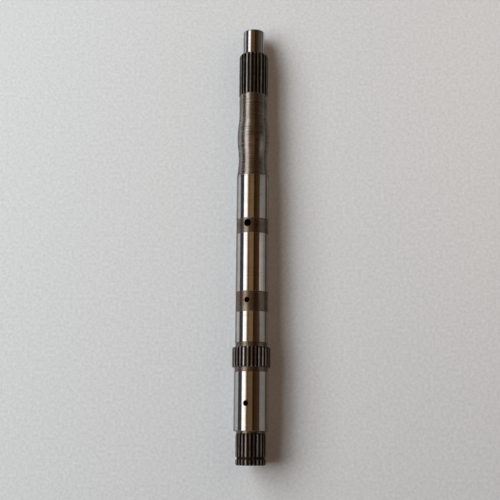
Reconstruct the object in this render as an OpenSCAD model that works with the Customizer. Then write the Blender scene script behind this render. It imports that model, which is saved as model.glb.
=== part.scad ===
// Input shaft of an automatic gearbox: one turned, ground and splined steel piece.
// It lies along Y with the pilot end at +Y. The origin is on the axis, in the rear end face.

/* [Pilot] */
// Diameter of the pilot journal
pilot_d = 18.9; // [16:0.1:21]
// Length of the pilot journal
pilot_len = 21.7; // [15:0.1:30]
// Radius of the rounded edge on the pilot's end
pilot_round = 1.3; // [0.4:0.1:2]

/* [Splines] */
// Module that the three splines share, as 24 teeth to the inch
spline_module = 1.058; // [0.9:0.002:1.15]
// Pressure angle of the teeth in degrees
pressure_angle = 30; // [20:1:32]
// Depth of the gaps below the tooth tips
tooth_depth = 1.15; // [0.9:0.01:1.3]
// Teeth on the front spline
front_teeth = 23; // [22:1:24]
// Length of the front spline behind its rounded lead
front_spline_len = 35.6; // [20:0.1:50]
// Rise of the gap floors where they run out on the necks, in degrees
runout_angle = 35; // [25:1:45]
// Teeth on the collar
collar_teeth = 30; // [29:1:32]
// Width of the collar
collar_w = 17.2; // [8:0.1:30]
// Radius of the rounded edge on the collar's front end
collar_round = 1.8; // [0.4:0.1:2.2]
// Chamfer on the collar's rear end
collar_chamfer = 0.9; // [0.4:0.1:2]
// Teeth on the rear spline
rear_teeth = 23; // [22:1:24]
// Length of the rear spline
rear_spline_len = 25.7; // [15:0.1:40]
// Radius of the rounded edge on the rear end
end_round = 1.6; // [0.4:0.1:2.2]

/* [Snap ring groove] */
// Width of the groove
ring_groove_w = 2.2; // [1:0.1:3]
// Depth of the groove below the tooth tips
ring_groove_depth = 0.9; // [0.4:0.05:1.1]
// Distance of the groove from the rear end
ring_groove_from_end = 4.8; // [3:0.1:8]

/* [Neck] */
// Diameter of the neck behind the front spline
neck_d = 24.7; // [23.8:0.1:25.2]
// Length of the neck
neck_len = 19.4; // [10:0.1:40]
// Radius of the hollow between the neck and the swell
neck_arc_r = 40; // [20:1:100]
// Height of the swell's crown above the neck
swell_rise = 1.4; // [0.8:0.05:1.6]
// Radius of the swell's arc along the shaft
swell_arc_r = 90; // [60:1:140]
// Height of the waist behind the swell above the neck, or below it where negative
waist_rise = 0.15; // [-0.25:0.05:0.5]
// Radius of the hollow that runs from the swell through the waist up to the front journal
waist_arc_r = 78; // [50:1:140]

/* [Journals] */
// Diameter of the three ground journals in front of the collar
journal_d = 28; // [27.9:0.05:28.6]
// Length of the front journal
front_journal_len = 39; // [25:0.1:60]
// Length of the middle journal
middle_journal_len = 50.5; // [30:0.1:70]
// Length of the collar journal
collar_journal_len = 25.8; // [15:0.1:40]
// Diameter of the rear journal
rear_journal_d = 29.2; // [28.6:0.05:30]
// Length of the rear journal
rear_journal_len = 49.3; // [30:0.1:70]
// Width of the unground band between the front and middle journals
front_band_w = 12.9; // [9:0.1:20]
// Width of the unground band between the middle and collar journals
rear_band_w = 17.3; // [13:0.1:25]
// Depth of the unground bands below the journals
band_depth = 0.2; // [0.1:0.05:0.5]
// Width of the grinding reliefs on both sides of the collar
relief_w = 3.8; // [2:0.1:6]
// Depth of the grinding reliefs below the journal beside them
relief_depth = 0.4; // [0.2:0.05:0.8]
// Width of the rear neck between the rear spline and the rear journal
rear_neck_w = 2.2; // [1.8:0.1:4]
// Depth of the rear neck below the rear spline's tooth tips
rear_neck_depth = 0.5; // [0.2:0.05:0.9]
// Chamfer on the rear journal's rear edge
shoulder_chamfer = 0.5; // [0.2:0.1:1]

/* [Oil ways] */
// Diameter of the oil bore along the axis
oil_bore_d = 9; // [7:0.1:11]
// Depth of the oil bore past the front port
oil_bore_past_port = 6; // [4:0.1:15]
// Mouth diameter of the bore's centring chamfer
bore_mouth_d = 12; // [11.2:0.1:14]
// Diameter of the front oil port
front_port_d = 6; // [3:0.1:6.5]
// Distance of the front port from the front edge of its band
front_port_from_edge = 4.5; // [3.6:0.1:6]
// Diameter of the middle oil port
middle_port_d = 4.2; // [3:0.1:6]
// Distance of the middle port from the rear edge of its band
middle_port_from_edge = 9.6; // [4:0.1:12]
// Diameter of the rear oil port
rear_port_d = 4; // [3:0.1:6]
// Distance of the rear port from the rear journal's rear edge
rear_port_from_edge = 22.9; // [8:0.1:28]
// Countersink on the rim of each port
port_chamfer = 0.4; // [0.2:0.05:0.8]
// Turn of the ports from the top towards -X, in degrees
port_angle = 12.5; // [0:0.5:45]

/* [Front centre hole] */
// Mouth diameter of the lathe centre in the pilot's end
centre_mouth_d = 6; // [4:0.1:9]
// Pilot drill diameter of the lathe centre
centre_drill_d = 2.5; // [1:0.1:3.5]
// Depth of the lathe centre
centre_depth = 7; // [5:0.1:10]

/* [Tooth phase] */
// Turn of a front gap from the top towards +X, in degrees
front_gap_turn = 0.4; // [0:0.1:15]
// Turn of a collar gap from the top towards +X, in degrees: at 0 the shaft lies on two teeth
collar_gap_turn = 0; // [0:0.1:12]
// Turn of a rear gap from the top towards +X, in degrees
rear_gap_turn = 10.2; // [0:0.1:15]

/* [Hidden] */
$fn = 144;

// Tooth tip radius of a spline with the given number of teeth
function tip_r(teeth) = spline_module * (teeth + 1) / 2;

front_tip_r = tip_r(front_teeth);
collar_tip_r = tip_r(collar_teeth);
rear_tip_r = tip_r(rear_teeth);
lead_round = front_tip_r - pilot_d / 2;
rear_neck_r = rear_tip_r - rear_neck_depth;
neck_r = neck_d / 2;
waist_r = neck_r + waist_rise;
swell_r = neck_r + swell_rise;

// Length of an arc along the shaft that starts level and rises by the given height, if it rises
function arc_reach(r, rise) = rise > 0 ? sqrt(pow(r, 2) - pow(r - rise, 2)) : 0;

// Length along the shaft of an arc and a counter arc, level at both ends, that rise by the given height
function ogee_reach(r1, r2, rise) = arc_reach(r1 + r2, rise);

// Stations along the shaft, from the rear end to the front end
rear_journal_y = rear_spline_len + rear_neck_w;
rear_relief_y = rear_journal_y + rear_journal_len;
collar_y = rear_relief_y + relief_w;
front_relief_y = collar_y + collar_w;
collar_journal_y = front_relief_y + relief_w;
rear_band_y = collar_journal_y + collar_journal_len;
middle_journal_y = rear_band_y + rear_band_w;
front_band_y = middle_journal_y + middle_journal_len;
front_journal_y = front_band_y + front_band_w;
flare_y = front_journal_y + front_journal_len;
waist_y = flare_y + arc_reach(waist_arc_r, journal_d / 2 - waist_r);
waist_reach = ogee_reach(swell_arc_r, waist_arc_r, swell_r - waist_r);
swell_y = waist_y + waist_reach;
neck_reach = ogee_reach(swell_arc_r, neck_arc_r, swell_r - neck_r);
neck_y = swell_y + neck_reach;
// Stations where the swell's arc turns into the hollows behind and in front of it
swell_from_y = swell_y - waist_reach * swell_arc_r / (swell_arc_r + waist_arc_r);
swell_to_y = swell_y + neck_reach * swell_arc_r / (swell_arc_r + neck_arc_r);
front_spline_y = neck_y + neck_len;
lead_y = front_spline_y + front_spline_len;
pilot_y = lead_y + lead_round;
shaft_len = pilot_y + pilot_len;
groove_end_y = ring_groove_from_end + ring_groove_w;

// Distance that the run-outs rise past the tooth tips, and end before a shoulder
runout_over = 0.3;

// Stations where the gaps of the end splines begin to run out: the front ones end where the neck ends,
// and the rear ones end clear of the rear journal
front_gap_y = front_spline_y + (neck_r - front_tip_r + tooth_depth) / tan(runout_angle);
rear_gap_y = rear_journal_y - runout_over - (tooth_depth + runout_over) / tan(runout_angle);

front_port_y = front_journal_y - front_port_from_edge;
middle_port_y = rear_band_y + middle_port_from_edge;
rear_port_y = rear_journal_y + rear_port_from_edge;
oil_bore_depth = front_port_y + oil_bore_past_port;

// Distance that cutters reach past the surface they cut
over = 1;
// Radius of the core inside the swell's outline
core_r = neck_r - over;
// Half angle of the cones that lathe centres run in
centre_angle = 30;
// Half angle of a drill's point
drill_point_angle = 59;

// Outline of one cylindrical land in the half section, with a chamfer at either end
function land(r, from, to, c_from = 0, c_to = 0) = concat(
    c_from > 0 ? [[r - c_from, from], [r, from + c_from]] : [[r, from]],
    c_to > 0 ? [[r, to - c_to], [r - c_to, to]] : [[r, to]]
);

// Half section of the turned blank, radius along X and length along Y, without its rounded forms
function blank_outline() = concat(
    [[0, 0]],
    land(rear_tip_r, 0, ring_groove_from_end, c_from = end_round),
    land(rear_tip_r - ring_groove_depth, ring_groove_from_end, groove_end_y),
    land(rear_tip_r, groove_end_y, rear_spline_len, c_to = rear_neck_depth),
    land(rear_neck_r, rear_spline_len, rear_journal_y),
    land(rear_journal_d / 2, rear_journal_y, rear_relief_y, c_from = shoulder_chamfer),
    land(rear_journal_d / 2 - relief_depth, rear_relief_y, collar_y),
    land(collar_tip_r, collar_y, front_relief_y, collar_chamfer, collar_round),
    land(journal_d / 2 - relief_depth, front_relief_y, collar_journal_y),
    land(journal_d / 2, collar_journal_y, rear_band_y),
    land(journal_d / 2 - band_depth, rear_band_y, middle_journal_y),
    land(journal_d / 2, middle_journal_y, front_band_y),
    land(journal_d / 2 - band_depth, front_band_y, front_journal_y),
    land(journal_d / 2, front_journal_y, flare_y),
    land(core_r, flare_y, neck_y),
    land(neck_r, neck_y, front_spline_y),
    land(front_tip_r, front_spline_y + abs(front_tip_r - neck_r), pilot_y, c_to = lead_round),
    land(pilot_d / 2, pilot_y, shaft_len, c_to = pilot_round),
    [[0, shaft_len]]
);

// Turns a shape whose axis is Z, with its top at -Y, so that it lies along Y with its top at +Z
module lay_down() {
    rotate([-90, 0, 0]) children();
}

// Half section of the neck's stretch between two stations
module stretch(from, to) {
    translate([0, from]) square([journal_d + neck_d, to - from]);
}

// Half section of the swell with the hollows behind and in front of it
module swell_outline($fn = 720) {
    difference() {
        stretch(flare_y, swell_from_y);
        translate([waist_r + waist_arc_r, waist_y]) circle(r = waist_arc_r);
    }
    intersection() {
        stretch(swell_from_y, swell_to_y);
        translate([swell_r - swell_arc_r, swell_y]) circle(r = swell_arc_r);
    }
    difference() {
        stretch(swell_to_y, neck_y);
        translate([neck_r + neck_arc_r, neck_y]) circle(r = neck_arc_r);
    }
}

// Fills the chamfer that ends at the surface of radius r and at the given station to a round edge
module round_edge(r, station, edge_r) {
    translate([r - edge_r, station]) circle(r = edge_r);
}

// The turned blank, standing along Z
module blank() {
    rotate_extrude() {
        polygon(blank_outline());
        swell_outline();
        round_edge(rear_tip_r, end_round, end_round);
        round_edge(collar_tip_r, front_relief_y - collar_round, collar_round);
        round_edge(front_tip_r, lead_y, lead_round);
        round_edge(pilot_d / 2, shaft_len - pilot_round, pilot_round);
    }
}

// Section of one gap, across the shaft, with the shaft's axis at the origin and the gap towards -Y
module gap_section(teeth) {
    pitch_r = spline_module * teeth / 2;
    outer_r = tip_r(teeth) + over;
    root_r = tip_r(teeth) - tooth_depth;
    half_w = PI * spline_module / 4;
    spread = tan(pressure_angle + 90 / teeth);
    outer_w = half_w + (outer_r - pitch_r) * spread;
    root_w = half_w + (root_r - pitch_r) * spread;
    polygon([[-outer_w, -outer_r], [outer_w, -outer_r], [root_w, -root_r], [-root_w, -root_r]]);
}

// All the gaps of one spline as straight cutters between two stations
module gaps(teeth, from, to, turn) {
    for (i = [0 : teeth - 1]) {
        rotate(turn + i * 360 / teeth)
            translate([0, 0, from]) linear_extrude(to - from) gap_section(teeth);
    }
}

// Ends of the gaps of one spline, whose floors rise from the given station until they run out on a neck.
// They lead towards the front, or towards the rear where rearward is 1.
module runouts(teeth, start, rearward, turn) {
    root_r = tip_r(teeth) - tooth_depth;
    reach = (tooth_depth + runout_over) / sin(runout_angle);
    for (i = [0 : teeth - 1]) {
        rotate(turn + i * 360 / teeth) translate([0, -root_r, start])
            mirror([0, 0, rearward]) rotate([runout_angle, 0, 0])
                linear_extrude(reach) translate([0, root_r]) gap_section(teeth);
    }
}

// One drilled oil port with a countersunk rim, from the axis out through a surface of radius surface_r
module port(station, d, surface_r) {
    rim_r = d / 2 + port_chamfer + over;
    translate([0, 0, station]) rotate(-port_angle) rotate([90, 0, 0]) rotate_extrude() {
        polygon([
            [0, 0], [d / 2, 0], [d / 2, surface_r - port_chamfer],
            [rim_r, surface_r + over], [0, surface_r + over]
        ]);
    }
}

// The oil bore drilled from the rear end, with its centring chamfer and its drill point
module oil_bore() {
    mouth_depth = (bore_mouth_d - oil_bore_d) / 2 / tan(centre_angle);
    mouth_over = bore_mouth_d / 2 + over * tan(centre_angle);
    tip = oil_bore_depth + oil_bore_d / 2 / tan(drill_point_angle);
    rotate_extrude() {
        polygon([
            [0, -over], [mouth_over, -over], [oil_bore_d / 2, mouth_depth],
            [oil_bore_d / 2, oil_bore_depth], [0, tip]
        ]);
    }
}

// The lathe centre in the pilot's end
module front_centre() {
    cone_depth = (centre_mouth_d - centre_drill_d) / 2 / tan(centre_angle);
    mouth_over = centre_mouth_d / 2 + over * tan(centre_angle);
    floor_y = shaft_len - centre_depth;
    tip = floor_y - centre_drill_d / 2 / tan(drill_point_angle);
    rotate_extrude() {
        polygon([
            [0, tip], [centre_drill_d / 2, floor_y], [centre_drill_d / 2, shaft_len - cone_depth],
            [mouth_over, shaft_len + over], [0, shaft_len + over]
        ]);
    }
}

module input_shaft() {
    color("#7c7773") lay_down() difference() {
        blank();
        gaps(front_teeth, front_gap_y, pilot_y + over, front_gap_turn);
        runouts(front_teeth, front_gap_y, 1, front_gap_turn);
        gaps(collar_teeth, collar_y - over, front_relief_y + over, collar_gap_turn);
        gaps(rear_teeth, -over, rear_gap_y, rear_gap_turn);
        runouts(rear_teeth, rear_gap_y, 0, rear_gap_turn);
        port(front_port_y, front_port_d, journal_d / 2 - band_depth);
        port(middle_port_y, middle_port_d, journal_d / 2 - band_depth);
        port(rear_port_y, rear_port_d, rear_journal_d / 2);
        oil_bore();
        front_centre();
    }
}

input_shaft();
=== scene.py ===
"""Looks of the gearbox input shaft: one turned, splined and ground steel part that lies on a pale floor.

The shaft is drawn out in three stretches. Each starts as one tooth pitch of a circle, is extruded ring
by ring along the shaft, and is copied round the axis. The stretches are bridged at the collar's two
faces, and the oil ports are drilled last. Stations run from the rear end along +Y. Where nothing else is
said, lengths are in millimetres and angles in degrees.
"""

import logging
import math
from dataclasses import dataclass, field
from enum import Enum

import bmesh
import bpy
from mathutils import Matrix, Vector


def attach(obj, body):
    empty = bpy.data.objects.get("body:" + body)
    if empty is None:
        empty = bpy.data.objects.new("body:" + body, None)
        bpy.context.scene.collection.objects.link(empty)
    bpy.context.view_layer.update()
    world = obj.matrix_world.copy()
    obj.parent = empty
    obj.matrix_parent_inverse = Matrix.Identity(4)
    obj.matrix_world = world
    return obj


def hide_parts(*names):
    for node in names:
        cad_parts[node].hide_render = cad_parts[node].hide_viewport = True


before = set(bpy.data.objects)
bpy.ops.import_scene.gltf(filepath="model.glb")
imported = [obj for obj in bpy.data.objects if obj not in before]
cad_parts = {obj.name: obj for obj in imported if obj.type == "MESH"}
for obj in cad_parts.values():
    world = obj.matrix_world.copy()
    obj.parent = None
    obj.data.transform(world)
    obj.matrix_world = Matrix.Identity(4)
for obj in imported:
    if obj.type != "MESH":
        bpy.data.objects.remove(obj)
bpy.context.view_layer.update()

LOG = logging.getLogger("input_shaft")
MM = 0.001
# Distance within which points are merged, in metres.
WELD = 0.001 * MM
# How many times longer a ring's streaks run round the shaft than the rings are apart.
STREAK = 40.0
# The ranges of noise over which a surface goes from dark to light, from smooth to dull and to its tint.
TONE_RANGE = (0.7, 1.3)
GLOSS_RANGE = (0.3, 0.7)
TINT_RANGE = (0.48, 0.7)


class Zone(Enum):
    """Finishes of the shaft, in the order of its material slots."""

    GROUND = 0
    PILOT = 1
    SKIN = 2
    BAND = 3
    LAND = 4
    WORN = 5
    GAP = 6
    BORE = 7
    EDGE = 8


def linear(hex_colour: str) -> tuple[float, float, float, float]:
    """Turns an sRGB hex colour to linear RGBA.

    Args:
        hex_colour: Six hex digits after a hash sign.

    Returns:
        Linear red, green and blue, with an alpha of 1.
    """
    channels = []
    for start in (1, 3, 5):
        value = int(hex_colour[start:start + 2], 16) / 255
        channels.append(value / 12.92 if value <= 0.04045 else ((value + 0.055) / 1.055) ** 2.4)
    return (*channels, 1.0)


def add(tree: bpy.types.NodeTree, kind: str, inputs: dict | None = None, **settings) -> bpy.types.Node:
    """Adds a node with its settings, values and links.

    Args:
        tree: The node tree that gets the node.
        kind: The node's type name.
        inputs: A value or an output socket for each input, by name or number.
        **settings: The node's own properties.

    Returns:
        The new node.
    """
    node = tree.nodes.new(kind)
    for name, value in settings.items():
        setattr(node, name, value)
    for key, value in (inputs or {}).items():
        if isinstance(value, bpy.types.NodeSocket):
            tree.links.new(value, node.inputs[key])
        else:
            node.inputs[key].default_value = value
    return node


def deselect() -> None:
    """Leaves object mode with nothing selected."""
    if bpy.context.object and bpy.context.object.mode != "OBJECT":
        bpy.ops.object.mode_set(mode="OBJECT")
    bpy.ops.object.select_all(action="DESELECT")


@dataclass(frozen=True)
class Finish:
    """A steel surface whose colour, gloss and relief vary over patches and rings round the shaft.

    Attributes:
        name: Name of the material.
        dark: Colour of the darker patches.
        light: Colour of the lighter patches.
        rough_low: Roughness of the smoothest places.
        rough_high: Roughness of the dullest places.
        patch: Size of a patch.
        ring: Spacing of the rings that turning or grinding leaves.
        relief: Height of the relief.
    """

    name: str
    dark: str
    light: str
    rough_low: float
    rough_high: float
    patch: float
    ring: float
    relief: float

    def colour(
        self, tree: bpy.types.NodeTree, place: bpy.types.NodeSocket, lines: bpy.types.NodeSocket,
    ) -> bpy.types.NodeSocket:
        """Mixes the two colours over patches and rings.

        Args:
            tree: The material's nodes.
            place: Object coordinates.
            lines: Value of the rings.

        Returns:
            The colour socket.
        """
        size = add(tree, "ShaderNodeMapping", {0: place, "Scale": [1 / (self.patch * MM)] * 3})
        patches = add(
            tree, "ShaderNodeTexNoise",
            {0: size.outputs[0], "Scale": 1.0, "Detail": 4.0, "Roughness": 0.6},
        )
        both = add(tree, "ShaderNodeMath", {0: patches.outputs[0], 1: lines}, operation="ADD")
        spread = add(tree, "ShaderNodeMapRange", {0: both.outputs[0], 1: TONE_RANGE[0], 2: TONE_RANGE[1]})
        mixed = add(
            tree, "ShaderNodeMix",
            {0: spread.outputs[0], 6: linear(self.dark), 7: linear(self.light)}, data_type="RGBA",
        )
        return mixed.outputs[2]

    def rings(self, tree: bpy.types.NodeTree, place: bpy.types.NodeSocket) -> bpy.types.NodeSocket:
        """Draws uneven rings round the shaft.

        Args:
            tree: The material's nodes.
            place: Object coordinates.

        Returns:
            A value from 0 to 1.
        """
        along = 1 / (self.ring * MM)
        size = add(tree, "ShaderNodeMapping", {0: place, "Scale": (along / STREAK, along, along / STREAK)})
        lines = add(
            tree, "ShaderNodeTexNoise",
            {0: size.outputs[0], "Scale": 1.0, "Detail": 3.0, "Roughness": 0.7},
        )
        return lines.outputs[0]

    def material(self) -> bpy.types.Material:
        """Builds the material.

        Returns:
            The material.
        """
        made = bpy.data.materials.new(self.name)
        made.use_nodes = True
        tree = made.node_tree
        tree.nodes.clear()
        place = add(tree, "ShaderNodeTexCoord").outputs["Object"]
        lines = self.rings(tree, place)
        gloss = add(
            tree, "ShaderNodeMapRange",
            {0: lines, 1: GLOSS_RANGE[0], 2: GLOSS_RANGE[1], 3: self.rough_low, 4: self.rough_high},
        )
        bump = add(tree, "ShaderNodeBump", {"Height": lines, "Strength": 1.0, "Distance": self.relief * MM})
        steel = add(
            tree, "ShaderNodeBsdfPrincipled",
            {
                "Base Color": self.colour(tree, place, lines), "Metallic": 1.0,
                "Roughness": gloss.outputs[0], "Normal": bump.outputs[0],
            },
        )
        add(tree, "ShaderNodeOutputMaterial", {0: steel.outputs[0]})
        return made


@dataclass(frozen=True)
class HardenedSkin(Finish):
    """Turned steel left with the skin of the hardening furnace, and tinted red-brown in places.

    Attributes:
        rust: Colour of the tint.
        rust_patch: Size of a tinted place.
        rust_share: Share of the tint where it is deepest.
    """

    rust: str = "#7d6450"
    rust_patch: float = 26.0
    rust_share: float = 0.35

    def colour(
        self, tree: bpy.types.NodeTree, place: bpy.types.NodeSocket, lines: bpy.types.NodeSocket,
    ) -> bpy.types.NodeSocket:
        """Mixes the tint over the two colours.

        Args:
            tree: The material's nodes.
            place: Object coordinates.
            lines: Value of the rings.

        Returns:
            The colour socket.
        """
        under = super().colour(tree, place, lines)
        size = add(tree, "ShaderNodeMapping", {0: place, "Scale": [1 / (self.rust_patch * MM)] * 3})
        places = add(tree, "ShaderNodeTexNoise", {0: size.outputs[0], "Scale": 1.0, "Detail": 2.0})
        share = add(
            tree, "ShaderNodeMapRange",
            {0: places.outputs[0], 1: TINT_RANGE[0], 2: TINT_RANGE[1], 4: self.rust_share},
        )
        mixed = add(
            tree, "ShaderNodeMix", {0: share.outputs[0], 6: under, 7: linear(self.rust)}, data_type="RGBA",
        )
        return mixed.outputs[2]


# Each finish is the same case-hardened alloy steel, and differs by what was done to its surface last.
# The marks of cutting and grinding are drawn coarser than they are, so that they show.
FINISHES: dict[Zone, Finish] = {
    # Ground between centres: mirror bright, with faint rings. The real rings are about 0.05 mm apart.
    Zone.GROUND: Finish("ground_journal_steel", "#b8b4af", "#c9c6c2", 0.09, 0.13, 9.0, 1.6, 0.0004),
    # The pilot, ground and then run in its bush: the same, but a little greyer and smoother.
    Zone.PILOT: Finish("run_in_pilot_steel", "#b0ada8", "#c1beba", 0.08, 0.12, 7.0, 1.4, 0.0006),
    # Turned, then hardened: grey-brown furnace skin, half bright, with turning marks.
    Zone.SKIN: HardenedSkin("hardened_skin_steel", "#8b867f", "#afaba6", 0.24, 0.285, 6.0, 1.2, 0.001),
    # Turned a little under the journals, so that the wheel missed them: browner, with oil varnish.
    Zone.BAND: HardenedSkin(
        "varnished_band_steel", "#6e6055", "#93877b", 0.27, 0.32, 5.0, 1.2, 0.001, "#7a5a45", 14.0, 0.4,
    ),
    # Hobbed and hardened, then rubbed by the hubs that slide on it: grey-brown, half bright.
    Zone.LAND: Finish("rubbed_spline_steel", "#6b655f", "#a19b95", 0.27, 0.4, 5.0, 1.8, 0.002),
    # The collar's tips, rubbed more: paler.
    Zone.WORN: Finish("worn_collar_steel", "#8a837d", "#b8b2ac", 0.28, 0.4, 5.0, 1.8, 0.003),
    # Hobbed gaps and the ring groove, which keep the furnace skin and old oil: near black, partly real and
    # partly painted shade for their depths.
    Zone.GAP: Finish("hobbed_gap_oil_and_shade_steel", "#1e1a16", "#362f29", 0.36, 0.5, 4.0, 1.2, 0.004),
    # Drilled holes, their countersinks, the oil bore and the lathe centre: near black, which is painted shade
    # for their insides; rough where the drill tore them.
    Zone.BORE: Finish("drilled_hole_shade_steel", "#1d1a18", "#38332e", 0.4, 0.55, 3.0, 0.8, 0.01),
    # Broken edges: bright where handling has rubbed them.
    Zone.EDGE: Finish("broken_edge_steel", "#8d877f", "#b5b0a9", 0.2, 0.3, 5.0, 1.2, 0.001),
}


@dataclass(frozen=True)
class ToothForm:
    """The teeth of one spline, with straight-sided gaps.

    Attributes:
        teeth: Number of teeth.
        turn: Angle of one gap's centre, from +Z towards +X.
        module: Pitch diameter for each tooth.
        depth: Depth of a gap below the tips.
        pressure_angle: Pressure angle of the flanks.
        edge_break: Size of the broken edge between a flank and a tip.
        tip_drop: Room for the fall of the tip circle from a gap's centre line to where a flank meets it.
    """

    teeth: int
    turn: float
    module: float = 1.058
    depth: float = 1.15
    pressure_angle: float = 30.0
    edge_break: float = 0.12
    tip_drop: float = 0.06

    @property
    def tip(self) -> float:
        """Radius of the tooth tips."""
        return self.module * (self.teeth + 1) / 2

    @property
    def root(self) -> float:
        """Radius of the gap floors."""
        return self.tip - self.depth

    def flank(self, height: float) -> tuple[float, float]:
        """Finds a point on the flank.

        Args:
            height: Distance from the axis, along the gap's centre line.

        Returns:
            The point's angle from the gap's centre, and its radius.
        """
        spread = math.tan(math.radians(self.pressure_angle + 90 / self.teeth))
        width = math.pi * self.module / 4 + (height - self.module * self.teeth / 2) * spread
        return math.degrees(math.atan2(width, height)), math.hypot(width, height)

    def half_pitch(self) -> list[tuple[float, float]]:
        """Lists the columns of points from a gap's centre to the middle of the land beside it.

        Returns:
            Each column's angle, and its radius where the gap is cut to full depth.
        """
        top_angle, top_radius = self.flank(self.tip - self.tip_drop - self.edge_break)
        edge = top_angle + math.degrees(self.edge_break / self.tip)
        middle = 180 / self.teeth
        return [
            (0.0, self.root), self.flank(self.root), self.flank(self.root + self.depth / 2),
            (top_angle, top_radius), (edge, math.inf), ((edge + middle) / 2, math.inf), (middle, math.inf),
        ]


@dataclass(frozen=True)
class Ring:
    """One station of a stretch.

    Attributes:
        y: Station along the shaft.
        radius: Radius of the turned form.
        zone: Finish between the ring before and this one.
        floor: Radius of the gap floors, where gaps are cut.
    """

    y: float
    radius: float
    zone: Zone
    floor: float = math.inf


def arc(
    centre: tuple[float, float], size: float, start: float, stop: float, steps: int,
) -> list[tuple[float, float]]:
    """Lists points on an arc in the half section.

    Args:
        centre: Station and radius of the arc's centre.
        size: Radius of the arc.
        start: Angle of the arc's start, from the direction away from the axis towards the front.
        stop: Angle of the arc's end.
        steps: Number of steps.

    Returns:
        Station and radius of each point after the start.
    """
    turns = [math.radians(start + (stop - start) * step / steps) for step in range(1, steps + 1)]
    return [(centre[0] + size * math.sin(turn), centre[1] + size * math.cos(turn)) for turn in turns]


@dataclass
class Stretch:
    """A length of the shaft that is drawn out ring by ring, as one tooth pitch, and copied round.

    Attributes:
        name: Name of the stretch.
        form: The teeth that set where its points lie round the axis.
        runout: Slope of the gap floors where they run out.
        edge: Size of a turned edge's break.
    """

    name: str
    form: ToothForm
    runout: float = 35.0
    edge: float = 0.15

    def rings(self) -> list[Ring]:
        """Lists the stations of the stretch; each kind of stretch gives its own."""
        raise NotImplementedError

    def build(self, coats: list[bpy.types.Material]) -> bpy.types.Object:
        """Draws the stretch.

        Args:
            coats: The material of each zone.

        Returns:
            The stretch as an open shell, in place.
        """
        stations = self.rings()
        shell = self.start(stations[0], coats)
        for before, ring in zip(stations, stations[1:]):
            self.draw_out(shell, before, ring)
        self.copy_round(shell)
        return shell

    def radii(self, ring: Ring) -> list[float]:
        """Gives the radius of each column at a ring, from the gap's centre outwards."""
        return [min(ring.radius, max(cut, ring.floor)) for _, cut in self.form.half_pitch()]

    def column(self, vert: bmesh.types.BMVert) -> int:
        """Finds which column a point of the first pitch is in.

        Args:
            vert: The point.

        Returns:
            The column's number, from the gap's centre outwards.
        """
        angle = abs(math.degrees(math.atan2(vert.co.x, vert.co.z)))
        gaps = [abs(angle - place) for place, _ in self.form.half_pitch()]
        return gaps.index(min(gaps))

    def start(self, ring: Ring, coats: list[bpy.types.Material]) -> bpy.types.Object:
        """Makes one pitch of the first ring from a circle.

        Args:
            ring: The first ring.
            coats: The material of each zone.

        Returns:
            The new object, in edit mode, with the ring selected.
        """
        columns = self.form.half_pitch()
        last = len(columns) - 1
        step = math.pi / (self.form.teeth * last)
        deselect()
        bpy.ops.mesh.primitive_circle_add(
            vertices=2 * self.form.teeth * last, radius=1.0, rotation=(math.pi / 2, 0, 0),
        )
        shell = bpy.context.active_object
        shell.name = self.name
        bpy.ops.object.transform_apply()
        for coat in coats:
            shell.data.materials.append(coat)
        bpy.ops.object.mode_set(mode="EDIT")
        bpy.ops.mesh.select_mode(type="VERT")
        mesh = bmesh.from_edit_mesh(shell.data)
        for vert in mesh.verts:
            vert.select = abs(math.atan2(vert.co.x, vert.co.z)) > step * (last + 0.5)
        mesh.select_flush_mode()
        bpy.ops.mesh.delete(type="VERT")
        mesh = bmesh.from_edit_mesh(shell.data)
        steps = {vert.index: round(math.atan2(vert.co.x, vert.co.z) / step) for vert in mesh.verts}
        for index, count in steps.items():
            turn = math.copysign(math.radians(columns[abs(count)][0]), count) - count * step
            self.select(shell, [index])
            bpy.ops.transform.rotate(value=-turn, orient_axis="Y", center_override=(0, 0, 0))
        bpy.ops.mesh.select_all(action="SELECT")
        bpy.ops.transform.translate(value=(0, ring.y * MM, 0))
        self.size(shell, [1 / MM] * len(columns), ring)
        return shell

    def select(self, shell: bpy.types.Object, indices: list[int]) -> None:
        """Selects only the points with these numbers.

        Args:
            shell: The stretch, in edit mode.
            indices: Numbers of the points.
        """
        mesh = bmesh.from_edit_mesh(shell.data)
        mesh.verts.ensure_lookup_table()
        for vert in mesh.verts:
            vert.select = False
        mesh.select_flush(False)
        for index in indices:
            mesh.verts[index].select = True
        mesh.select_flush(True)

    def size(self, shell: bpy.types.Object, old: list[float], ring: Ring) -> None:
        """Brings the selected ring's columns to their radii.

        Args:
            shell: The stretch, in edit mode.
            old: The columns' radii so far.
            ring: The ring that they are to lie on.
        """
        factors = [to / since for since, to in zip(old, self.radii(ring))]
        mesh = bmesh.from_edit_mesh(shell.data)
        mesh.verts.index_update()
        drawn = {vert.index: factors[self.column(vert)] for vert in mesh.verts if vert.select}
        for factor in sorted(set(drawn.values())):
            self.select(shell, [index for index, share in drawn.items() if share == factor])
            bpy.ops.transform.resize(value=(factor, 1, factor), center_override=(0, ring.y * MM, 0))
        self.select(shell, list(drawn))

    def draw_out(self, shell: bpy.types.Object, before: Ring, ring: Ring) -> None:
        """Extrudes the selected ring to the next one and marks the new faces with their finish.

        Args:
            shell: The stretch, in edit mode.
            before: The ring that is there.
            ring: The ring to make.
        """
        bpy.ops.mesh.extrude_region_move(TRANSFORM_OT_translate={"value": (0, (ring.y - before.y) * MM, 0)})
        cut = min(before.floor, ring.floor) < math.inf
        edge = sum(1 for _, radius in self.form.half_pitch() if radius < math.inf)
        mesh = bmesh.from_edit_mesh(shell.data)
        for face in {face for vert in mesh.verts if vert.select for face in vert.link_faces}:
            column = min(self.column(vert) for vert in face.verts)
            zone = Zone.GAP if cut and column < edge - 1 else ring.zone
            face.material_index = zone.value
        self.size(shell, self.radii(before), ring)

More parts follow.
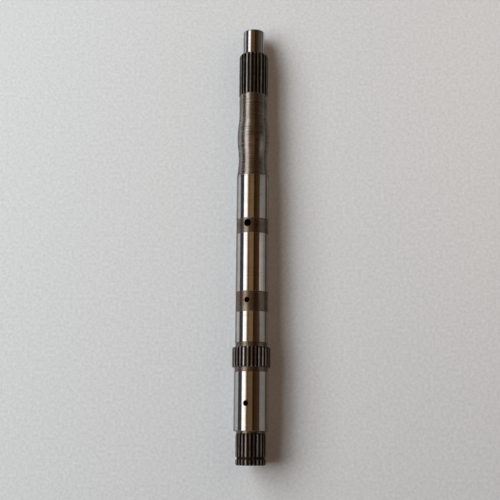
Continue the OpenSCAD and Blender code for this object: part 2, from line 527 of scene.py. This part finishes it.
    def copy_round(self, shell: bpy.types.Object) -> None:
        """Copies the pitch round the axis, closes its seams and turns a gap to its place.

        Args:
            shell: The stretch, in edit mode.
        """
        copies = self.form.teeth - 1
        bpy.ops.mesh.select_all(action="SELECT")
        bpy.ops.mesh.spin(
            steps=copies, dupli=True, angle=math.tau * copies / self.form.teeth,
            center=(0, 0, 0), axis=(0, 1, 0),
        )
        bpy.ops.mesh.select_all(action="SELECT")
        bpy.ops.mesh.remove_doubles(threshold=WELD)
        mesh = bmesh.from_edit_mesh(shell.data)
        mesh.faces.ensure_lookup_table()
        first = mesh.faces[0]
        if first.normal.dot(first.calc_center_median() * Vector((1, 0, 1))) < 0:
            bpy.ops.mesh.flip_normals()
        bpy.ops.object.mode_set(mode="OBJECT")
        shell.rotation_euler = (0, math.radians(self.form.turn), 0)
        bpy.ops.object.transform_apply()


@dataclass(frozen=True)
class OilPort:
    """A countersunk hole from the surface to the oil bore.

    Attributes:
        y: Station along the shaft.
        size: Diameter of the hole.
        surface: Radius of the surface that it opens on.
        angle: Angle of the hole from +Z towards -X.
        sink: Depth and width of the countersink.
        room: Distance from the hole's edge to the rings beside it.
        rise: Height of the tool's cone, which stands out of the surface.
        sides: Number of the tool's sides.
    """

    y: float
    size: float
    surface: float
    angle: float = 12.5
    sink: float = 0.4
    room: float = 1.0
    rise: float = 1.6
    sides: int = 64

    def beside(self) -> tuple[float, float]:
        """Gives the stations of the rings behind and in front of the hole."""
        reach = self.size / 2 + self.sink + self.room
        return self.y - reach, self.y + reach

    def drill(self, coats: list[bpy.types.Material]) -> bpy.types.Object:
        """Makes the tool that drills the hole.

        Args:
            coats: The material of each zone.

        Returns:
            A closed tool, in place.
        """
        depth = (self.surface - self.sink) * MM
        deselect()
        bpy.ops.mesh.primitive_cylinder_add(
            vertices=self.sides, radius=self.size / 2 * MM, depth=depth, location=(0, self.y * MM, depth / 2),
        )
        tool = bpy.context.active_object
        for coat in coats:
            tool.data.materials.append(coat)
        bpy.ops.object.transform_apply()
        bpy.ops.object.mode_set(mode="EDIT")
        bpy.ops.mesh.select_mode(type="FACE")
        mesh = bmesh.from_edit_mesh(tool.data)
        for face in mesh.faces:
            face.select = face.normal.z > 0.9
            face.material_index = Zone.BORE.value
        wider = 1 + 2 * self.rise / self.size
        bpy.ops.mesh.extrude_region_move(TRANSFORM_OT_translate={"value": (0, 0, self.rise * MM)})
        bpy.ops.transform.resize(
            value=(wider, wider, 1), center_override=(0, self.y * MM, depth + self.rise * MM),
        )
        bpy.ops.object.mode_set(mode="OBJECT")
        tool.rotation_euler = (0, -math.radians(self.angle), 0)
        bpy.ops.object.transform_apply()
        return tool


PORTS = (OilPort(50.8, 4.0, 14.6), OilPort(137.4, 4.2, 13.8), OilPort(204.0, 6.0, 13.8))


@dataclass
class RearStretch(Stretch):
    """The rear spline with its ring groove, the rear journal, and the oil bore inside the shaft.

    Attributes:
        end_round: Round of the rear end.
        groove_y: Station of the snap ring groove.
        groove_w: Width of the groove.
        groove_depth: Depth of the groove below the tips.
        spline_len: Length of the spline.
        neck_w: Width of the neck in front of the spline.
        neck_depth: Depth of the neck below the tips.
        journal_r: Radius of the rear journal.
        journal_len: Length of the rear journal.
        shoulder: Chamfer of the journal's rear end.
        relief_w: Width of the relief behind the collar.
        relief_depth: Depth of the relief.
        runout_end: Distance from the end of the run-outs to the journal.
        bore_r: Radius of the oil bore.
        bore_mouth_r: Radius of the bore's mouth.
        bore_mouth_depth: Depth of the mouth's cone.
        bore_depth: Depth of the oil bore.
        bore_point: Length of the drill point.
        runout_shares: Where rings lie on a run-out, as shares of its length from its deep end.
        round_steps: Number of steps in the end's round.
    """

    end_round: float = 1.6
    groove_y: float = 4.8
    groove_w: float = 2.2
    groove_depth: float = 0.9
    spline_len: float = 25.7
    neck_w: float = 2.2
    neck_depth: float = 0.5
    journal_r: float = 14.6
    journal_len: float = 49.3
    shoulder: float = 0.5
    relief_w: float = 3.8
    relief_depth: float = 0.4
    runout_end: float = 0.3
    bore_r: float = 4.5
    bore_mouth_r: float = 6.0
    bore_mouth_depth: float = 2.6
    bore_depth: float = 210.0
    bore_point: float = 2.7
    runout_shares: tuple[float, ...] = (1.0, 0.75, 0.5, 0.2)
    round_steps: int = 7

    def rings(self) -> list[Ring]:
        """Lists the rings from the collar back to the rear end, and forward again inside the bore."""
        return [*self.journal_rings(), *self.spline_rings(), *self.bore_rings()]

    def journal_rings(self) -> list[Ring]:
        """Lists the rings of the relief and the journal.

        Returns:
            The rings from the collar back to the neck.
        """
        journal_y = self.spline_len + self.neck_w
        relief_y = journal_y + self.journal_len
        relief_r = self.journal_r - self.relief_depth
        behind, ahead = PORTS[0].beside()
        return [
            Ring(relief_y + self.relief_w, relief_r, Zone.SKIN),
            Ring(relief_y, relief_r, Zone.BAND),
            Ring(relief_y, self.journal_r - self.edge, Zone.BAND),
            Ring(relief_y - self.edge, self.journal_r, Zone.EDGE),
            Ring(ahead, self.journal_r, Zone.GROUND),
            Ring(behind, self.journal_r, Zone.GROUND),
            Ring(journal_y + self.shoulder, self.journal_r, Zone.GROUND),
            Ring(journal_y, self.journal_r - self.shoulder, Zone.BAND),
        ]

    def spline_rings(self) -> list[Ring]:
        """Lists the rings of the neck, the run-outs, the teeth, the groove and the rounded end.

        Returns:
            The rings from the journal back to the rear end.
        """
        tip, root = self.form.tip, self.form.root
        journal_y = self.spline_len + self.neck_w
        neck_r = tip - self.neck_depth
        slope = math.tan(math.radians(self.runout))
        full_y = journal_y - self.runout_end - (self.form.depth + self.runout_end) / slope
        end_y = full_y + (neck_r - root) / slope
        groove_r = tip - self.groove_depth
        groove_end = self.groove_y + self.groove_w
        made = [Ring(journal_y, neck_r, Zone.BAND), Ring(end_y, neck_r, Zone.BAND)]
        for share in self.runout_shares:
            y = full_y + (end_y - full_y) * share
            made.append(Ring(y, neck_r + max(self.spline_len - y, 0), Zone.BAND, root + (y - full_y) * slope))
        made += [
            Ring(full_y, neck_r + self.spline_len - full_y, Zone.LAND, root),
            Ring(self.spline_len - self.neck_depth, tip, Zone.LAND, root),
            Ring(groove_end + self.edge, tip, Zone.LAND, root),
            Ring(groove_end, tip - self.edge, Zone.EDGE, root),
            Ring(groove_end, groove_r, Zone.GAP, root),
            Ring(self.groove_y, groove_r, Zone.GAP, root),
            Ring(self.groove_y, tip - self.edge, Zone.GAP, root),
            Ring(self.groove_y - self.edge, tip, Zone.EDGE, root),
            Ring(self.end_round, tip, Zone.LAND, root),
        ]
        rounded = arc((self.end_round, tip - self.end_round), self.end_round, 0, -90, self.round_steps)
        return made + [Ring(y, radius, Zone.LAND, root) for y, radius in rounded]

    def bore_rings(self) -> list[Ring]:
        """Lists the rings of the end face and the bore, up to its point.

        Returns:
            The rings from the rear end forward inside the shaft.
        """
        made = [Ring(0, self.bore_mouth_r, Zone.SKIN), Ring(self.bore_mouth_depth, self.bore_r, Zone.BORE)]
        for port in PORTS:
            made += [Ring(y, self.bore_r, Zone.BORE) for y in port.beside()]
        made.append(Ring(self.bore_depth, self.bore_r, Zone.BORE))
        made.append(Ring(self.bore_depth + self.bore_point, 0, Zone.BORE))
        return made


@dataclass
class CollarStretch(Stretch):
    """The toothed collar.

    Attributes:
        y: Station of its rear face.
        width: Width of the collar.
        chamfer: Chamfer of the tooth ends at the rear.
        front_round: Round of the tooth ends at the front.
        round_steps: Number of steps in that round.
    """

    y: float = 81.0
    width: float = 17.2
    chamfer: float = 0.9
    front_round: float = 1.8
    round_steps: int = 8

    def rings(self) -> list[Ring]:
        """Lists the rings of the teeth.

        Returns:
            The rings from the rear face to the front face.
        """
        tip, root = self.form.tip, self.form.root
        round_y = self.y + self.width - self.front_round
        rounded = arc((round_y, tip - self.front_round), self.front_round, 0, 90, self.round_steps)
        return [
            Ring(self.y, tip - self.chamfer, Zone.SKIN, root),
            Ring(self.y + self.chamfer, tip, Zone.WORN, root),
            Ring(round_y, tip, Zone.WORN, root),
            *(Ring(y, radius, Zone.WORN, root) for y, radius in rounded),
        ]


@dataclass
class FrontStretch(Stretch):
    """The journals and bands in front of the collar, the swell, the neck, the front spline and the pilot.

    Attributes:
        y: Station of the collar's front face.
        relief_w: Width of the relief in front of the collar.
        relief_r: Radius of the relief.
        journal_r: Radius of the journals.
        band_r: Radius of the unground bands.
        lands: Length of each journal and band in turn, from the collar.
        wheel_edge: Width of the bright line where the grinding stops in front.
        waist_r: Least radius of the hollow behind the swell.
        waist_arc: Radius of the hollow's arc.
        swell_r: Radius of the swell's crown.
        swell_arc: Radius of the swell's arc.
        neck_r: Radius of the neck.
        neck_arc: Radius of the hollow in front of the swell.
        neck_len: Length of the neck.
        spline_len: Length of the front spline.
        pilot_r: Radius of the pilot.
        pilot_len: Length of the pilot.
        pilot_round: Round of the pilot's end.
        centre_r: Radius of the lathe centre's mouth.
        centre_drill_r: Radius of its pilot drill.
        centre_depth: Depth of the lathe centre.
        centre_angle: Half angle of its cone.
        point_angle: Half angle of the drill's point.
        runout_shares: Where rings lie on a run-out, as shares of its length from its shallow end.
        swell_steps: Number of steps in the hollow's arc and in the swell's.
        neck_steps: Number of steps in the arc in front of the swell.
        lead_steps: Number of steps in the round from the spline to the pilot.
        round_steps: Number of steps in the pilot's round.
    """

    y: float = 98.2
    relief_w: float = 3.8
    relief_r: float = 13.6
    journal_r: float = 14.0
    band_r: float = 13.8
    lands: tuple[float, ...] = (25.8, 17.3, 50.5, 12.9, 39.0)
    wheel_edge: float = 0.7
    waist_r: float = 12.5
    waist_arc: float = 78.0
    swell_r: float = 13.75
    swell_arc: float = 90.0
    neck_r: float = 12.35
    neck_arc: float = 40.0
    neck_len: float = 19.4
    spline_len: float = 35.6
    pilot_r: float = 9.45
    pilot_len: float = 21.7
    pilot_round: float = 1.3
    centre_r: float = 3.0
    centre_drill_r: float = 1.25
    centre_depth: float = 7.0
    centre_angle: float = 30.0
    point_angle: float = 59.0
    runout_shares: tuple[float, ...] = (0.6, 0.8)
    swell_steps: int = 14
    neck_steps: int = 6
    lead_steps: int = 12
    round_steps: int = 7

    def rings(self) -> list[Ring]:
        """Lists the rings of the whole stretch.

        Returns:
            The rings from the collar to the pilot's end, and back into the lathe centre.
        """
        made = self.journal_rings()
        made += self.swell_rings(made[-1].y)
        made += self.spline_rings(made[-1].y + self.neck_len)
        return made + self.pilot_rings(made[-1].y)

    def journal_rings(self) -> list[Ring]:
        """Lists the rings of the relief, the journals and the bands between them.

        Returns:
            The rings from the collar to the end of the grinding.
        """
        y = self.y + self.relief_w
        made = [Ring(self.y, self.relief_r, Zone.BAND), Ring(y, self.relief_r, Zone.BAND)]
        step = (self.journal_r - self.band_r) / 2
        last = len(self.lands) - 1
        for index, length in enumerate(self.lands):
            if index % 2:
                places = [place for port in PORTS for place in self.beside(port, y, length)]
                made += [
                    Ring(y, self.journal_r - step, Zone.EDGE), Ring(y, self.band_r, Zone.BAND),
                    *(Ring(place, self.band_r, Zone.BAND) for place in places),
                    Ring(y + length, self.band_r, Zone.BAND),
                ]
            else:
                short = step if index < last else self.wheel_edge
                made += [
                    Ring(y, self.journal_r - step, Zone.BAND), Ring(y + step, self.journal_r, Zone.EDGE),
                    Ring(y + length - short, self.journal_r, Zone.GROUND),
                ]
            y += length
        made.append(Ring(y, self.journal_r, Zone.EDGE))
        return made

    def beside(self, port: OilPort, y: float, length: float) -> list[float]:
        """Gives the stations beside a port that lie on a band."""
        return [place for place in port.beside() if y + self.edge < place < y + length - self.edge]

    def swell_rings(self, y: float) -> list[Ring]:
        """Lists the rings of the hollow, the swell and the neck's hollow.

        Args:
            y: Station where the hollow begins.

        Returns:
            The rings after that station.
        """
        flare = math.degrees(math.acos(1 - (self.journal_r - self.waist_r) / self.waist_arc))
        rise = (self.swell_r - self.waist_r) / (self.swell_arc + self.waist_arc)
        climb = math.degrees(math.acos(1 - rise))
        drop = (self.swell_r - self.neck_r) / (self.swell_arc + self.neck_arc)
        fall = math.degrees(math.acos(1 - drop))
        waist_y = y + self.waist_arc * math.sin(math.radians(flare))
        swell_y = waist_y + (self.swell_arc + self.waist_arc) * math.sin(math.radians(climb))
        neck_y = swell_y + (self.swell_arc + self.neck_arc) * math.sin(math.radians(fall))
        points = [
            *arc(
                (waist_y, self.waist_r + self.waist_arc), self.waist_arc,
                180 + flare, 180 - climb, self.swell_steps,
            ),
            *arc((swell_y, self.swell_r - self.swell_arc), self.swell_arc, -climb, fall, self.swell_steps),
            *arc((neck_y, self.neck_r + self.neck_arc), self.neck_arc, 180 + fall, 180, self.neck_steps),
        ]
        return [Ring(place, radius, Zone.SKIN) for place, radius in points]

    def spline_rings(self, y: float) -> list[Ring]:
        """Lists the rings of the front spline with its run-outs and its rounded lead.

        Args:
            y: Station where the spline begins.

        Returns:
            The rings from that station to the pilot.
        """
        tip, root = self.form.tip, self.form.root
        slope = math.tan(math.radians(self.runout))
        full_y = y + (self.neck_r - root) / slope
        lead_y = y + self.spline_len
        made = [Ring(y, self.neck_r, Zone.SKIN)]
        places = [y + share * (full_y - y) for share in self.runout_shares]
        for place in (y, y + (tip - self.neck_r), *places, full_y):
            radius = min(tip, self.neck_r + place - y)
            made.append(Ring(place, radius, Zone.LAND, root + (full_y - place) * slope))
        made.append(Ring(lead_y, tip, Zone.LAND, root))
        size = tip - self.pilot_r
        for place, radius in arc((lead_y, self.pilot_r), size, 0, 90, self.lead_steps):
            made.append(Ring(place, radius, Zone.LAND, root if radius > root else math.inf))
        return made

    def pilot_rings(self, y: float) -> list[Ring]:
        """Lists the rings of the pilot, its rounded end and its lathe centre.

        Args:
            y: Station where the pilot begins.

        Returns:
            The rings after that station.
        """
        end_y = y + self.pilot_len
        cone = (self.centre_r - self.centre_drill_r) / math.tan(math.radians(self.centre_angle))
        point = self.centre_drill_r / math.tan(math.radians(self.point_angle))
        round_y = end_y - self.pilot_round
        rounded = arc((round_y, self.pilot_r - self.pilot_round), self.pilot_round, 0, 90, self.round_steps)
        return [
            Ring(round_y, self.pilot_r, Zone.PILOT),
            # The pilot's rounded end takes the darker spline finish, which darkens its rim.
            *(Ring(place, radius, Zone.LAND) for place, radius in rounded),
            Ring(end_y, self.centre_r, Zone.SKIN),
            Ring(end_y - cone, self.centre_drill_r, Zone.BORE),
            Ring(end_y - self.centre_depth, self.centre_drill_r, Zone.BORE),
            Ring(end_y - self.centre_depth - point, 0, Zone.BORE),
        ]


@dataclass
class InputShaft:
    """The whole shaft.

    Attributes:
        rear: The rear stretch.
        collar: The collar.
        front: The front stretch.
        smooth_angle: Angle up to which neighbouring faces are shaded as one surface.
        near: Distance within which a point counts as on one of the collar's faces.
    """

    rear: RearStretch = field(default_factory=lambda: RearStretch("rear_stretch", ToothForm(23, 10.2)))
    collar: CollarStretch = field(default_factory=lambda: CollarStretch("collar_stretch", ToothForm(30, 0.0)))
    front: FrontStretch = field(default_factory=lambda: FrontStretch("front_stretch", ToothForm(23, 0.4)))
    smooth_angle: float = 24.0
    near: float = 0.01

    def build(self) -> bpy.types.Object:
        """Models the shaft and dresses it.

        Returns:
            The finished piece, riding on the frame.
        """
        coats = [FINISHES[zone].material() for zone in Zone]
        shaft = self.join([stretch.build(coats) for stretch in (self.rear, self.collar, self.front)])
        self.close_faces(shaft, (self.collar.y, self.collar.y + self.collar.width))
        for port in PORTS:
            self.cut(shaft, port.drill(coats))
        bpy.ops.object.shade_smooth_by_angle(angle=math.radians(self.smooth_angle))
        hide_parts("input_shaft")
        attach(shaft, "root")
        return shaft

    def join(self, shells: list[bpy.types.Object]) -> bpy.types.Object:
        """Makes one object of the shells.

        Args:
            shells: The stretches, in place.

        Returns:
            The joined object.
        """
        deselect()
        for shell in shells:
            shell.select_set(True)
        bpy.context.view_layer.objects.active = shells[0]
        bpy.ops.object.join()
        shaft = bpy.context.active_object
        shaft.name = "input_shaft_steel"
        return shaft

    def close_faces(self, shaft: bpy.types.Object, stations: tuple[float, ...]) -> None:
        """Bridges the open rings at the collar's faces and turns all faces outwards.

        Args:
            shaft: The joined object.
            stations: Stations of the collar's faces.
        """
        bpy.ops.object.mode_set(mode="EDIT")
        bpy.ops.mesh.select_mode(type="EDGE")
        near = self.near * MM
        for station in stations:
            mesh = bmesh.from_edit_mesh(shaft.data)
            for edge in mesh.edges:
                edge.select = edge.is_boundary and all(abs(v.co.y - station * MM) < near for v in edge.verts)
            mesh.select_flush_mode()
            bpy.ops.mesh.bridge_edge_loops()
            mesh = bmesh.from_edit_mesh(shaft.data)
            for face in mesh.faces:
                if all(abs(v.co.y - station * MM) < near for v in face.verts):
                    face.material_index = Zone.SKIN.value
        bpy.ops.mesh.select_all(action="SELECT")
        bpy.ops.mesh.normals_make_consistent(inside=False)
        bpy.ops.object.mode_set(mode="OBJECT")

    def cut(self, shaft: bpy.types.Object, tool: bpy.types.Object) -> None:
        """Cuts the shaft with a tool and removes the tool.

        Args:
            shaft: The closed shaft.
            tool: The tool, in place.
        """
        deselect()
        shaft.select_set(True)
        bpy.context.view_layer.objects.active = shaft
        hole = shaft.modifiers.new("hole", "BOOLEAN")
        hole.operation = "DIFFERENCE"
        hole.solver = "EXACT"
        hole.object = tool
        bpy.ops.object.modifier_apply(modifier=hole.name)
        bpy.data.objects.remove(tool)


# Stations where cards end, in metres. The camera sees each inner one mirrored at the place that it names.
CARD_REAR = -6.5
SEEN_AT_COLLAR = 0.23
SEEN_AT_REAR_BAND = 0.37
SEEN_AT_FRONT_BAND = 0.54
SEEN_AT_WAIST = 0.72
SEEN_AT_SPLINE = 0.92
CARD_FRONT = 7.0


@dataclass(frozen=True)
class Hung:
    """A long thing that hangs along the shaft and faces it.

    Attributes:
        name: Name of the thing.
        start: Angle of its left edge from the camera's direction, towards the right.
        stop: Angle of its right edge.
        colour: Colour of its light.
        strength: Strength of its light.
        rear: Station of its rear end, in metres.
        front: Station of its front end, in metres.
        reach: Its distance from the shaft's axis, in metres.
    """

    name: str
    start: float
    stop: float
    colour: str
    strength: float = 1.0
    rear: float = CARD_REAR
    front: float = CARD_FRONT
    reach: float = 1.6

    @property
    def width(self) -> float:
        """Distance between its left and right edges, in metres."""
        return 2 * self.reach * math.tan(math.radians((self.stop - self.start) / 2))

    def turn(self, lean: float) -> float:
        """Gives its angle from +Z towards +X, in radians, for the camera's lean."""
        return math.radians((self.start + self.stop) / 2 + lean)

    def place(self, lean: float) -> tuple[float, float, float]:
        """Gives the place of its centre for the camera's lean."""
        turn = self.turn(lean)
        return self.reach * math.sin(turn), (self.rear + self.front) / 2, self.reach * math.cos(turn)


@dataclass(frozen=True)
class Card(Hung):
    """A card that only reflections show."""

    def hang(self, lean: float) -> None:
        """Hangs the card.

        Args:
            lean: Angle of the camera from +Z towards +X.
        """
        deselect()
        bpy.ops.mesh.primitive_plane_add(size=1, location=self.place(lean), rotation=(0, self.turn(lean), 0))
        bpy.context.active_object.scale = (self.width, self.front - self.rear, 1)
        make_card(self.name, self.colour, self.strength)


@dataclass(frozen=True)
class Lamp(Hung):
    """A lamp that lights the floor, and that reflections don't show."""

    reach: float = 2.1

    def hang(self, lean: float) -> None:
        """Hangs the lamp.

        Args:
            lean: Angle of the camera from +Z towards +X.
        """
        light = bpy.data.lights.new(self.name, "AREA")
        light.shape = "RECTANGLE"
        light.size, light.size_y = self.width, self.front - self.rear
        light.energy = self.strength * math.pi * light.size * light.size_y
        light.color = linear(self.colour)[:3]
        holder = bpy.data.objects.new(self.name, light)
        bpy.context.scene.collection.objects.link(holder)
        holder.location = self.place(lean)
        holder.rotation_euler = (0, self.turn(lean), 0)
        holder.visible_camera = holder.visible_glossy = False


@dataclass(frozen=True)
class FloorCard:
    """A card just over the floor beside the shaft, which only reflections show.

    Attributes:
        name: Name of the card.
        left: Distance of its left edge from the shaft's axis, in metres.
        right: Distance of its right edge.
        colour: Colour of the card.
        length: Length of the card along the shaft, in metres.
        lift: Height over the floor.
    """

    name: str
    left: float
    right: float
    colour: str
    length: float = 3.2
    lift: float = 1.5

    def lay(self, y: float, z: float, tilt: float) -> None:
        """Lays the card.

        Args:
            y: Station of its centre, in metres.
            z: Height of the floor there, in metres.
            tilt: Slope of the floor along the shaft, in radians.
        """
        middle = (self.left + self.right) / 2
        deselect()
        bpy.ops.mesh.primitive_plane_add(
            size=1, location=(middle, y, z + self.lift * MM), rotation=(tilt, 0, 0),
        )
        bpy.context.active_object.scale = (self.right - self.left, self.length, 1)
        make_card(self.name, self.colour, 1.0)


def make_card(name: str, colour: str, strength: float) -> None:
    """Makes a card of the active plane: it shines dimly, and only reflections show it.

    Args:
        name: Name of the card.
        colour: Colour of the card.
        strength: Strength of its light.
    """
    made = bpy.data.materials.new(name)
    made.use_nodes = True
    tree = made.node_tree
    tree.nodes.clear()
    light = add(tree, "ShaderNodeEmission", {"Color": linear(colour), "Strength": strength})
    add(tree, "ShaderNodeOutputMaterial", {0: light.outputs[0]})
    sheet = bpy.context.active_object
    sheet.name = name
    sheet.visible_camera = sheet.visible_diffuse = sheet.visible_shadow = False
    sheet.data.materials.append(made)


# A soft light from the left, in three parts that shape the shadow's edge, and a warm one that fills it.
LAMPS = (
    Lamp("high_lamp", -44.0, -30.0, "#f5fbfd", 3.05, -0.7, 2.4),
    Lamp("key_lamp", -57.8, -44.0, "#f5fbfd", 7.15, -0.6, 2.6),
    Lamp("low_lamp", -72.0, -57.8, "#f5fbfd", 6.9, -0.4, 2.9),
    Lamp("warm_fill_lamp", 25.0, 70.0, "#ffe6d3", 1.14, 0.1, 0.7, 0.65),
)

# The room as the steel mirrors it, from the left over the shaft to the right.
CARDS = (
    Card("navy_side_card", -95, -63, "#4f5159", 0.8),
    Card("bright_strip_card", -63, -41, "#fdfdff", 2.05),
    Card("warm_strip_card", -41, -36, "#fff8f2", 1.45),
    Card("strip_edge_card", -36, -31, "#c3bbb0"),
    Card("shaded_overhead_card", -31, -22, "#8a6f4e", 0.45),
    Card("rear_overhead_card", -22, 9, "#8a6f4e", 0.75, CARD_REAR, SEEN_AT_COLLAR),
    Card("brown_overhead_card", -22, 9, "#8a6f4e", 1.0, SEEN_AT_COLLAR, SEEN_AT_WAIST),
    Card("neck_overhead_card", -22, 9, "#8a6f4e", 0.28, SEEN_AT_WAIST, SEEN_AT_SPLINE),
    Card("front_overhead_card", -22, 9, "#8a6f4e", 0.6, SEEN_AT_SPLINE, CARD_FRONT),
    Card("black_overhead_card", 9, 20, "#684527", 0.2),
    Card("dark_overhead_card", 20, 36, "#684527", 0.45),
    Card("rear_dusk_card", 36, 57.5, "#5a4434", 0.65, CARD_REAR, SEEN_AT_REAR_BAND),
    Card("front_dusk_card", 36, 51.5, "#5a4434", 0.75, SEEN_AT_REAR_BAND, CARD_FRONT),
    Card("rear_side_card", 57.5, 95, "#908c8a", 1.0, CARD_REAR, SEEN_AT_REAR_BAND),
    Card("bright_side_card", 51.5, 66, "#cec5bf", 1.0, SEEN_AT_REAR_BAND, SEEN_AT_FRONT_BAND),
    Card("pale_side_card", 66, 95, "#b1adad", 1.0, SEEN_AT_REAR_BAND, SEEN_AT_FRONT_BAND),
    Card("dim_side_card", 51.5, 95, "#918e8c", 1.0, SEEN_AT_FRONT_BAND, SEEN_AT_WAIST),
    Card("dark_side_card", 51.5, 95, "#241c15", 1.0, SEEN_AT_WAIST, SEEN_AT_SPLINE),
    Card("front_side_card", 51.5, 95, "#5f5b58", 1.0, SEEN_AT_SPLINE, CARD_FRONT),
)

# The floor as the shaft's lower edges mirror it: painted contact shade close on the left, painted shadow on
# the right, and a floor dimmer than the lit one further right.
FLOOR_CARDS = (
    FloorCard("contact_shade_floor_card", -0.05, -0.017, "#9a9da1"),
    FloorCard("shaded_floor_card", 0.03, 0.075, "#544b43"),
    FloorCard("right_floor_card", 0.075, 1.6, "#8c8782"),
)


@dataclass
class Studio:
    """Floor, cards, lamps, room and camera.

    Attributes:
        lean: Angle of the camera from +Z towards +X.
        pitch: Angle of the camera's axis from straight down, towards the front.
        roll: Turn of the camera about its axis.
        stand_off: Distance of the camera from the shaft's axis, in metres.
        above: Station that the camera is above, in metres.
        aside: Distance of the camera to the left of the axis, in metres.
        lens: Focal length.
        sensor: Width of the camera's sensor.
        rests: Station and height of the two places where the shaft rests, in metres.
        floor_size: Length of the floor's sides, in metres.
        floor_dark: Colour of the floor's darker grains.
        floor_light: Colour of its lighter grains.
        grain: Size of its grains.
        haze_centre: Place on the floor that the haze lies round, in metres from the rear rest.
        haze_start: Distance from there at which the floor begins to fade into the backdrop, in metres.
        haze_end: Distance at which only the backdrop shows, in metres.
        backdrop: Colour of the room far away.
        room: Colour of the room's own light.
    """

    lean: float = 5.5
    pitch: float = 11.0
    roll: float = 0.5
    stand_off: float = 0.866
    above: float = 0.0142
    aside: float = 0.0019
    lens: float = 73.4
    sensor: float = 36.0
    rests: tuple[tuple[float, float], ...] = ((0.0896, -0.01632), (0.2832, -0.01375))
    floor_size: float = 40.0
    floor_dark: str = "#c2c2c3"
    floor_light: str = "#d0d0d1"
    grain: float = 2.6
    haze_centre: tuple[float, float, float] = (0.0, 0.1, 0.0)
    haze_start: float = 0.26
    haze_end: float = 0.62
    backdrop: str = "#c9c9ca"
    room: str = "#4b392a"

    @property
    def tilt(self) -> float:
        """Slope of the floor along the shaft, in radians."""
        (rear_y, rear_z), (front_y, front_z) = self.rests
        return math.atan2(front_z - rear_z, front_y - rear_y)

    def build(self) -> None:
        """Sets the whole stage."""
        self.lay_floor()
        for hung in (*LAMPS, *CARDS):
            hung.hang(self.lean)
        for card in FLOOR_CARDS:
            card.lay(*self.rests[0], self.tilt)
        self.fill_room()
        self.place_camera()

    def lay_floor(self) -> None:
        """Lays the floor under the shaft's two rests, and fades it into the backdrop far away."""
        deselect()
        bpy.ops.mesh.primitive_plane_add(
            size=self.floor_size, location=(0, *self.rests[0]), rotation=(self.tilt, 0, 0),
        )
        floor = bpy.context.active_object
        floor.name = "floor"
        # Pale sawn stone: matt, with a fine speckle.
        made = bpy.data.materials.new("speckled_stone_floor")
        made.use_nodes = True
        tree = made.node_tree
        tree.nodes.clear()
        place = add(tree, "ShaderNodeTexCoord").outputs["Object"]
        size = add(tree, "ShaderNodeMapping", {0: place, "Scale": [1 / (self.grain * MM)] * 3})
        grains = add(tree, "ShaderNodeTexNoise", {0: size.outputs[0], "Scale": 1.0, "Detail": 3.0})
        spread = add(tree, "ShaderNodeMapRange", {0: grains.outputs[0], 1: 0.3, 2: 0.7})
        colour = add(
            tree, "ShaderNodeMix",
            {0: spread.outputs[0], 6: linear(self.floor_dark), 7: linear(self.floor_light)}, data_type="RGBA",
        )
        stone = add(
            tree, "ShaderNodeBsdfPrincipled",
            {"Base Color": colour.outputs[2], "Roughness": 0.6, "Specular IOR Level": 0.2},
        )
        away = add(tree, "ShaderNodeVectorMath", {0: place, 1: self.haze_centre}, operation="DISTANCE")
        far = add(
            tree, "ShaderNodeMapRange", {0: away.outputs["Value"], 1: self.haze_start, 2: self.haze_end},
            interpolation_type="SMOOTHSTEP",
        )
        share = add(tree, "ShaderNodeMath", {0: far.outputs[0], 1: self.seen(tree)}, operation="MULTIPLY")
        haze = add(tree, "ShaderNodeEmission", {"Color": linear(self.backdrop), "Strength": 1.0})
        both = add(
            tree, "ShaderNodeMixShader", {0: share.outputs[0], 1: stone.outputs[0], 2: haze.outputs[0]},
        )
        add(tree, "ShaderNodeOutputMaterial", {0: both.outputs[0]})
        floor.data.materials.append(made)

    def seen(self, tree: bpy.types.NodeTree) -> bpy.types.NodeSocket:
        """Tells rays that show a thing, straight or in a reflection, from rays that only carry its light.

        Args:
            tree: The nodes of the floor or the room.

        Returns:
            A value of 1 for rays that show it, and otherwise 0.
        """
        rays = add(tree, "ShaderNodeLightPath").outputs
        mirrored = add(
            tree, "ShaderNodeMath", {0: rays["Is Glossy Ray"], 1: rays["Is Transmission Ray"]},
            operation="ADD",
        )
        either = add(
            tree, "ShaderNodeMath", {0: rays["Is Camera Ray"], 1: mirrored.outputs[0]},
            operation="ADD", use_clamp=True,
        )
        return either.outputs[0]

    def fill_room(self) -> None:
        """Gives the room a dim warm light that fills shadows, and a pale backdrop."""
        world = bpy.data.worlds.new("room")
        bpy.context.scene.world = world
        world.use_nodes = True
        tree = world.node_tree
        tree.nodes.clear()
        colour = add(
            tree, "ShaderNodeMix",
            {0: self.seen(tree), 6: linear(self.room), 7: linear(self.backdrop)}, data_type="RGBA",
        )
        light = add(tree, "ShaderNodeBackground", {"Color": colour.outputs[2], "Strength": 1.0})
        add(tree, "ShaderNodeOutputWorld", {0: light.outputs[0]})

    def place_camera(self) -> None:
        """Puts the camera where the photograph was taken."""
        lean, pitch, roll = (math.radians(angle) for angle in (self.lean, self.pitch, self.roll))
        along = Vector((0, 1, 0))
        out = Vector((math.sin(lean), 0, math.cos(lean)))
        right = along.cross(out)
        up = math.cos(pitch) * along + math.sin(pitch) * out
        back = right.cross(up)
        right, up = math.cos(roll) * right + math.sin(roll) * up, math.cos(roll) * up - math.sin(roll) * right
        eye = Vector((0, self.above, 0)) + self.stand_off * out - self.aside * along.cross(out)
        camera = bpy.data.cameras.new("camera")
        camera.lens = self.lens
        camera.sensor_width = self.sensor
        holder = bpy.data.objects.new("camera", camera)
        bpy.context.scene.collection.objects.link(holder)
        holder.matrix_world = Matrix.Translation(eye) @ Matrix((right, up, back)).transposed().to_4x4()
        bpy.context.scene.camera = holder


def main() -> None:
    """Builds the shaft and its stage."""
    logging.basicConfig(level=logging.INFO)
    bpy.context.scene.view_settings.view_transform = "Standard"
    shaft = InputShaft().build()
    LOG.info("%s: %d faces", shaft.name, len(shaft.data.polygons))
    Studio().build()
    LOG.info("stage set")


if __name__ == "__main__":
    main()
